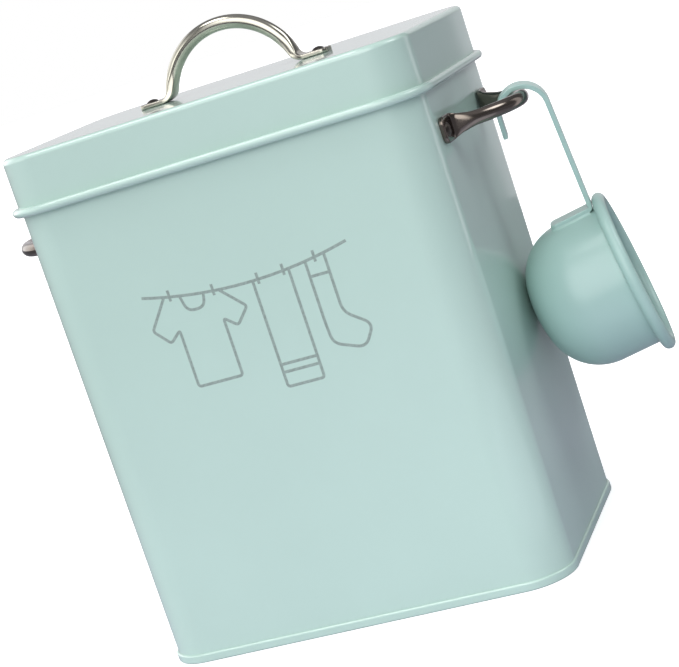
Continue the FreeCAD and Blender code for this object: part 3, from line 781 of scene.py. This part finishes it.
class TIN_OT_bowl(TinPiece, Operator):
    """Build the scoop's bowl with its rolled rim"""

    bl_idname = "tin.bowl"
    bl_label = "Scoop bowl"

    def execute(self, context):
        scoop = context.scene.tin_scoop
        wall, rim = scoop.radius, scoop.rim / 2
        meeting = math.acos((rim - scoop.sheet) / rim)
        bm = bmesh.new()
        outer = self.bottom(bm, scoop, 0)
        outer = run(bm, outer, Vector((wall, 0, -rim * math.sin(meeting))))
        rolled = 360 - math.degrees(meeting)
        roll_middle = Vector((wall - scoop.sheet + rim, 0, 0))
        mouth = arc(bm, outer, roll_middle, -AXES["Y"], rolled, steps=36)
        inner = self.bottom(bm, scoop, scoop.sheet)
        bmesh.ops.contextual_create(bm, geom=[mouth, inner])
        full_turn(bm, steps=128)
        turned = Matrix.Rotation(math.pi / 2 - scoop.pitch, 4, "Y")
        place = scoop_frame() @ Matrix.Translation(rim_middle()) @ turned
        bmesh.ops.transform(bm, matrix=place, verts=bm.verts[:])
        finish_piece("bowl", bm, once(enamel_of_scoop_painted_shade), "tin", "scoop_bowl")
        return {"FINISHED"}

    def bottom(self, bm, scoop, inset):
        """Draw the bottom's and the corner's arcs from the pole; returns the top of the corner."""
        crown_middle, corner_middle = bowl_centres(scoop)
        beside = scoop.radius - scoop.corner
        split = math.degrees(math.atan2(corner_middle - crown_middle, beside))
        vert = bm.verts.new((0, 0, inset - scoop.depth))
        vert = arc(bm, vert, Vector((0, 0, crown_middle)), -AXES["Y"], 90 + split, steps=16)
        return arc(bm, vert, Vector((beside, 0, corner_middle)), -AXES["Y"], -split, steps=20)


END_STEPS = 6  # round an end of the strip

# section of the weld: way out from the tab's edge, what it stands on, rise in strip thicknesses
WELD_SECTION = (
    (-0.0003, "tab", 0.35),
    (0.0002, "tab", 0.02),
    (0.0009, "bowl", -0.02),
    (-0.0003, "bowl", -0.1),
)


class TIN_OT_strip(TinPiece, Operator):
    """Build the scoop's strip: free end, hook, shank, fold and welded tab"""

    bl_idname = "tin.strip"
    bl_label = "Scoop handle"

    def execute(self, context):
        scoop, handle = context.scene.tin_scoop, context.scene.tin_handles
        sink = scoop.hook - scoop.strip / 2 - handle.rod / 2 - scoop.hook_clearance
        middle = Vector((-sink * math.sin(scoop.hook_lean), 0, -sink * math.cos(scoop.hook_lean)))
        mouth = mouth_direction()
        upwards = Vector((-mouth.z, 0, mouth.x))
        rise = scoop.radius + scoop.weld + scoop.strip / 2
        set_back = (scoop.rim + scoop.strip) / 2 + scoop.foot_gap
        corner = rim_middle() + upwards * rise - mouth * set_back

        to_corner = corner - middle
        bearing = math.atan2(to_corner.z, to_corner.x) + math.acos(scoop.hook / to_corner.length)
        shank_top = middle + Vector((math.cos(bearing), 0, math.sin(bearing))) * scoop.hook
        down = (corner - shank_top).normalized()
        fold_angle = math.acos(-down.dot(mouth))
        used = scoop.fold * math.tan(fold_angle / 2)
        inwards = Vector((down.z, 0, -down.x))
        fold_middle = corner - down * used + inwards * scoop.fold

        bm = bmesh.new()
        leg_end = middle - AXES["X"] * scoop.hook - AXES["Z"] * scoop.hook_leg
        flat = Matrix.Translation(leg_end) @ Matrix.Diagonal((scoop.strip, scoop.strip_width, 1, 1))
        section = bmesh.ops.create_grid(bm, x_segments=1, y_segments=1, size=0.5, matrix=flat)["verts"]
        ease(bm, section, scoop.strip_edge, 3, "VERTICES")
        first = bm.edges[:]
        bmesh.ops.delete(bm, geom=bm.faces[:], context="FACES_ONLY")
        edges = push(bm, first, AXES["Z"] * scoop.hook_leg)
        edges = turn(bm, edges, middle, AXES["Y"], 180 - math.degrees(bearing), steps=36)
        edges = push(bm, edges, down * ((corner - shank_top).length - used))
        edges = turn(bm, edges, fold_middle, AXES["Y"], math.degrees(fold_angle), steps=10)
        edges = push(bm, edges, -mouth * (scoop.tab - used - scoop.tab_corner))
        last = self.round_off(bm, edges, -mouth, scoop.tab_corner, scoop.end_ease)
        first = self.round_off(bm, first, -AXES["Z"], scoop.end_corner, scoop.end_ease)
        for loop in (first, last):
            bmesh.ops.contextual_create(bm, geom=loop)
        self.weld(bm, scoop, upwards, mouth, set_back)
        settle(bm)
        bmesh.ops.transform(bm, matrix=scoop_frame(), verts=bm.verts[:])
        finish_piece("strip", bm, once(enamel_of_scoop_painted_shade), "tin", "scoop_handle")
        return {"FINISHED"}

    def round_off(self, bm, edges, outwards, corner, soften):
        """Round the corners of an end of the strip and ease its edges; returns the end's edges."""
        thickness_way = outwards.cross(AXES["Y"])
        turn_of_step = math.pi / 2 / END_STEPS
        for step in range(END_STEPS):
            before, now = turn_of_step * step, turn_of_step * (step + 1)
            onwards = outwards * corner * (math.sin(now) - math.sin(before))
            narrowing = math.cos(before) - math.cos(now)
            made = bmesh.ops.extrude_edge_only(bm, edges=edges)["geom"]
            edges, ring = edges_of(made), verts_of(made)
            middle = sum((vert.co for vert in ring), Vector()) / len(ring)
            for vert in ring:
                side = vert.co - middle
                across = math.copysign(corner * narrowing, side.y)
                through = math.copysign(soften * narrowing, side.dot(thickness_way))
                vert.co += onwards - AXES["Y"] * across - thickness_way * through
        return edges

    def weld(self, bm, scoop, upwards, mouth, set_back):
        """Painted-over weld that fills the corner between tab and bowl, round the tab's end."""
        half, end, corner = scoop.strip_width / 2, set_back + scoop.tab, scoop.tab_corner
        start, quarter = -set_back - scoop.weld_start, range(0, 91, 15)
        outline = [(half, start, 0)]
        outline += [self.round_corner(half, end, corner, turned) for turned in quarter]
        outline += [self.round_corner(-half, end, corner, turned) for turned in reversed(quarter)]
        outline.append((-half, start, 0))
        wall_end = -bowl_centres(scoop)[1]
        rings = []
        for y, z, turned in outline:
            out_y, out_z = math.cos(math.radians(turned)), -math.sin(math.radians(turned))
            ring = []
            for out, seat, rise in WELD_SECTION:
                at_y, at_z = y + math.copysign(out_y, y) * out, z + out_z * out
                past_wall = max(0, -at_z - wall_end)
                bowl = math.sqrt(scoop.radius**2 - at_y**2) - past_wall**2 / (2 * scoop.corner)
                ground = bowl if seat == "bowl" else scoop.radius + scoop.weld
                up = upwards * (ground + rise * scoop.strip)
                ring.append(bm.verts.new(rim_middle() + up + mouth * at_z + AXES["Y"] * at_y))
            rings.append(ring)
        for low, high in zip(rings, rings[1:]):
            for first, second in ((0, 1), (1, 2), (2, 3), (3, 0)):
                bm.faces.new((low[first], low[second], high[second], high[first]))
        bm.faces.new(rings[0])
        bm.faces.new(rings[-1])

    def round_corner(self, half, end, corner, turned):
        """Point of the tab's rounded end at an angle from its side, and that angle."""
        angle = math.radians(turned)
        y = math.copysign(abs(half) - corner + corner * math.cos(angle), half)
        return y, -(end - corner + corner * math.sin(angle)), turned


# --- operators: print and stage ---

ROUNDING_STEPS = 8  # round a corner of the drawing


def sag(x):
    """Height of the washing line over the middle of the drawing, in millimetres."""
    return 24 + 0.0025 * x * x


def rounded(points, reach):
    """Line through the points, its corners rounded off from this far away."""
    points = [Vector(point) for point in points]
    line = [points[0]]
    for before, corner, after in zip(points, points[1:], points[2:]):
        start = corner + (before - corner).normalized() * min(reach, (before - corner).length / 2)
        stop = corner + (after - corner).normalized() * min(reach, (after - corner).length / 2)
        for step in range(ROUNDING_STEPS + 1):
            part = step / ROUNDING_STEPS
            line.append(start.lerp(corner, part).lerp(corner.lerp(stop, part), part))
    return line + [points[-1]]


def strokes():
    """Lines of the drawing, in millimetres about its middle: washing pegged on a sagging line."""
    line = [(x, sag(x)) for x in range(-48, 49, 3)]
    neck = rounded([(-20, sag(20)), (-21.5, 19), (-29.5, 19), (-31, sag(31))], 3.5)
    right = rounded([(-13, sag(13)), (-3, 14.5), (-9.5, 7.5), (-15, 12), (-15, -14), (-25.5, -14)], 1.5)
    left = rounded([(-38, sag(38)), (-48, 14.5), (-41.5, 7.5), (-36, 12), (-36, -14), (-25.5, -14)], 1.5)
    towel = rounded([(3, sag(3)), (3, -24), (20, -24), (20, sag(20))], 1.5)
    stripes = [[(3, -14), (20, -14)], [(3, -17.5), (20, -17.5)]]
    sock = [(28, sag(28)), (28, -2), (28.5, -11), (42, -16), (48, -7), (37, 1), (37, sag(37))]
    cuff = [(28, 19), (37, 19)]
    pegs = [[(x, sag(x) - 2), (x, sag(x) + 3)] for x in (-35.5, -15.5, 5.5, 17.5, 32.5)]
    return [line, neck, right, left, towel, *stripes, rounded(sock, 4), cuff, *pegs]


class TIN_OT_print(TinPiece, Operator):
    """Lay the grey line drawing on the front"""

    bl_idname = "tin.print"
    bl_label = "Print"

    def execute(self, context):
        sizes = context.scene.tin_print
        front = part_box("body_wall")[0].y
        curve = bpy.data.curves.new("drawing", "CURVE")
        curve.dimensions = "2D"
        curve.fill_mode = "NONE"
        curve.bevel_depth = sizes.stroke / 2
        curve.bevel_resolution = 3
        curve.use_fill_caps = True
        for points in strokes():
            spline = curve.splines.new("POLY")
            spline.points.add(len(points) - 1)
            for point, (x, z) in zip(spline.points, points):
                point.co = (x / 1000, z / 1000, 0, 1)
        drawn = new_object("drawing", curve)
        mesh = bpy.data.meshes.new_from_object(drawn.evaluated_get(context.evaluated_depsgraph_get()))
        bpy.data.objects.remove(drawn)
        bm = bmesh.new()
        bm.from_mesh(mesh)
        bmesh.ops.scale(bm, vec=(1, 1, sizes.film / sizes.stroke), verts=bm.verts[:])
        place = Matrix.Translation((0, front - sizes.film / 2, sizes.height))
        upright = Matrix.Rotation(math.pi / 2, 4, "X")
        bmesh.ops.transform(bm, matrix=place @ upright, verts=bm.verts[:])
        finish_piece("drawing", bm, once(grey_ink), "tin", None)
        return {"FINISHED"}


# soft light round the tin: azimuth, elevation, core and edge in degrees, brightness
SKY_BASE = (0.17, 0.17, 0.18)
SKY = (
    (0, 90, 30, 60, (0.42, 0.42, 0.45)),
    (-112, 14, 14, 34, (2.1, 2.1, 2.12)),
    (-70, 12, 14, 40, (1.45, 1.45, 1.48)),
    (97, 42, 3, 18, (5.2, 5.3, 5.4)),
    (4, 14, 10, 32, (2.62, 2.62, 2.63)),
    (2, 36, 14, 32, (2.9, 2.9, 2.92)),
    (-48, 20, 4, 10, (3.4, 3.4, 3.3)),
    (-55, 66, 6, 13, (8.5, 8.5, 8.5)),
)

# light cards that the enamel mirrors: name, shape, place, way the back faces, width, height,
# watts and colour
CARDS = (
    ("rear_card", "RECTANGLE", (-0.215, 1.0, 0.35), (-0.255, 1, 0), 1.19, 0.7, 1.45, (1, 0.97, 1)),
    ("edge_card", "RECTANGLE", (0.38, 0.23, 0.20), (0.38, 0.23, 0), 0.1, 0.4, 0.1, (1, 0.97, 1)),
    ("floor_card", "ELLIPSE", (0.31, -0.19, 0.002), (0, 0, -1), 0.40, 0.36, 0.17, (0.86, 0.92, 1)),
)


def direction(azimuth, elevation):
    """Way from the tin to something beside it; azimuth 0 is the front and grows to the right."""
    level = math.cos(elevation)
    return Vector((math.sin(azimuth) * level, -math.cos(azimuth) * level, math.sin(elevation)))


class TIN_OT_stage(TinPiece, Operator):
    """Set the floor, the soft light and the camera"""

    bl_idname = "tin.stage"
    bl_label = "Stage"

    def execute(self, context):
        self.floor()
        self.world(context)
        self.cards()
        self.camera(context)
        context.scene.view_settings.view_transform = "Standard"
        return {"FINISHED"}

    def floor(self):
        """Wide pale floor: near white where it is seen; in reflections and bounced light a painted pool
        of light round the tin fades to painted shade farther out.
        """
        material, tree, shader = new_material("pale_floor")
        near = add_node(tree, "ShaderNodeVectorMath", operation="LENGTH")
        tree.links.new(add_node(tree, "ShaderNodeTexCoord").outputs["Object"], near.inputs[0])
        # painted light: bright pool round the tin, painted shade beyond, seen only in reflections and
        # bounced light
        painted_bright_floor, rest = (0.47, 0.48, 0.58), (0.17, 0.17, 0.19)
        tint = blend_colours(tree, near.outputs["Value"], painted_bright_floor, rest, low=0.25, high=0.75)
        tree.links.new(tint, shader.inputs["Base Color"])
        shader.inputs["Roughness"].default_value = 0.9
        shader.inputs["Specular IOR Level"].default_value = 0.1
        seen = add_node(tree, "ShaderNodeBsdfDiffuse", Color=(0.9, 0.9, 0.9, 1))
        lift = add_node(tree, "ShaderNodeEmission", Color=(1, 1, 1, 1), Strength=0.45)
        lifted = add_node(tree, "ShaderNodeAddShader")
        tree.links.new(seen.outputs["BSDF"], lifted.inputs[0])
        tree.links.new(lift.outputs["Emission"], lifted.inputs[1])
        self.show(tree, "Material Output", shader.outputs["BSDF"], lifted.outputs["Shader"])
        bm = bmesh.new()
        bmesh.ops.create_circle(bm, cap_ends=True, segments=96, radius=12)
        floor = new_object("floor", new_mesh("floor", bm, material))
        floor.location.y = -0.35

    def world(self, context):
        """Soft light from all round, with brighter and darker parts for the metal to mirror."""
        world = bpy.data.worlds.new("studio")
        world.use_nodes = True
        context.scene.world = world
        tree = world.node_tree
        background = tree.nodes["Background"]
        outlook = add_node(tree, "ShaderNodeTexCoord").outputs["Generated"]
        tint = None
        for azimuth, elevation, core, edge, shade in SKY:
            way = direction(math.radians(azimuth), math.radians(elevation))
            tint = self.patch(tree, outlook, tint, way, core, edge, shade)
        tree.links.new(tint, background.inputs["Color"])
        background.inputs["Strength"].default_value = 1
        seen = add_node(tree, "ShaderNodeBackground", Color=(1, 1, 1, 1), Strength=1)
        self.show(tree, "World Output", background.outputs["Background"], seen.outputs["Background"])

    def show(self, tree, output, lighting, seen):
        """Send one shader to what is lit or mirrored, and the other straight to the camera."""
        ray = add_node(tree, "ShaderNodeLightPath")
        mix = add_node(tree, "ShaderNodeMixShader")
        tree.links.new(ray.outputs["Is Camera Ray"], mix.inputs["Fac"])
        tree.links.new(lighting, mix.inputs[1])
        tree.links.new(seen, mix.inputs[2])
        tree.links.new(mix.outputs["Shader"], tree.nodes[output].inputs["Surface"])

    def patch(self, tree, outlook, below, way, core, edge, shade):
        """Lay a soft round patch of light over what is below it."""
        near = add_node(tree, "ShaderNodeVectorMath", operation="DOT_PRODUCT")
        near.inputs[1].default_value = way
        tree.links.new(outlook, near.inputs[0])
        fade = add_node(tree, "ShaderNodeMapRange", interpolation_type="SMOOTHSTEP")
        fade.inputs["From Min"].default_value = math.cos(math.radians(edge))
        fade.inputs["From Max"].default_value = math.cos(math.radians(core))
        tree.links.new(near.outputs["Value"], fade.inputs["Value"])
        mix = add_node(tree, "ShaderNodeMix", data_type="RGBA")
        mix.inputs["A"].default_value = (*SKY_BASE, 1)
        mix.inputs["B"].default_value = (*shade, 1)
        if below:
            tree.links.new(below, mix.inputs["A"])
        tree.links.new(fade.outputs["Result"], mix.inputs["Factor"])
        return mix.outputs["Result"]

    def cards(self):
        """Light cards behind, beside and under the tin's right side."""
        for name, shape, place, back, width, height, power, shade in CARDS:
            light = bpy.data.lights.new(name, "AREA")
            light.shape = shape
            light.size, light.size_y = width, height
            light.energy = power
            light.color = shade
            card = new_object(name, light)
            card.location = place
            card.rotation_mode = "QUATERNION"
            card.rotation_quaternion = Vector(back).to_track_quat("Z", "Y")
            card.visible_camera = False

    def camera(self, context):
        """Camera at the tin's front right, a little above it, with the picture tilted."""
        stage = context.scene.tin_stage
        back = direction(stage.azimuth, stage.elevation)
        data = bpy.data.cameras.new("camera")
        data.lens = stage.lens
        data.sensor_width = 36
        data.clip_start, data.clip_end = 0.05, 60
        camera = new_object("camera", data)
        camera.location = Vector(stage.aim) + back * stage.distance
        camera.rotation_mode = "QUATERNION"
        tilt = Matrix.Rotation(-stage.roll, 4, "Z").to_quaternion()
        camera.rotation_quaternion = (-back).to_track_quat("-Z", "Y") @ tilt
        context.scene.camera = camera


OPERATORS = (
    TIN_OT_wall,
    TIN_OT_base,
    TIN_OT_lid,
    TIN_OT_handles,
    TIN_OT_rivets,
    TIN_OT_bowl,
    TIN_OT_strip,
    TIN_OT_print,
    TIN_OT_stage,
)


class TIN_PT_sidebar(Panel):
    """Sidebar with every step and setting of the tin."""

    bl_idname = "TIN_PT_sidebar"
    bl_label = "Laundry Tin"
    bl_space_type = "VIEW_3D"
    bl_region_type = "UI"
    bl_category = "Tin"

    def draw(self, context):
        for operator in OPERATORS:
            self.layout.operator(operator.bl_idname)
        for name, group in GROUPS.items():
            box = self.layout.box()
            box.label(text=group.__doc__)
            for setting in group.__annotations__:
                box.prop(getattr(context.scene, name), setting)


CLASSES = (*GROUPS.values(), *OPERATORS, TIN_PT_sidebar)


def register():
    """Register every class and hang the settings on the scene."""
    for item in CLASSES:
        bpy.utils.register_class(item)
    for name, group in GROUPS.items():
        setattr(bpy.types.Scene, name, PointerProperty(type=group))


def unregister():
    """Take everything back."""
    for name in GROUPS:
        delattr(bpy.types.Scene, name)
    for item in reversed(CLASSES):
        bpy.utils.unregister_class(item)


def main():
    """Build the whole tin."""
    register()
    for operator in OPERATORS:
        getattr(bpy.ops.tin, operator.bl_idname.split(".")[1])()


if __name__ == "__main__":
    main()
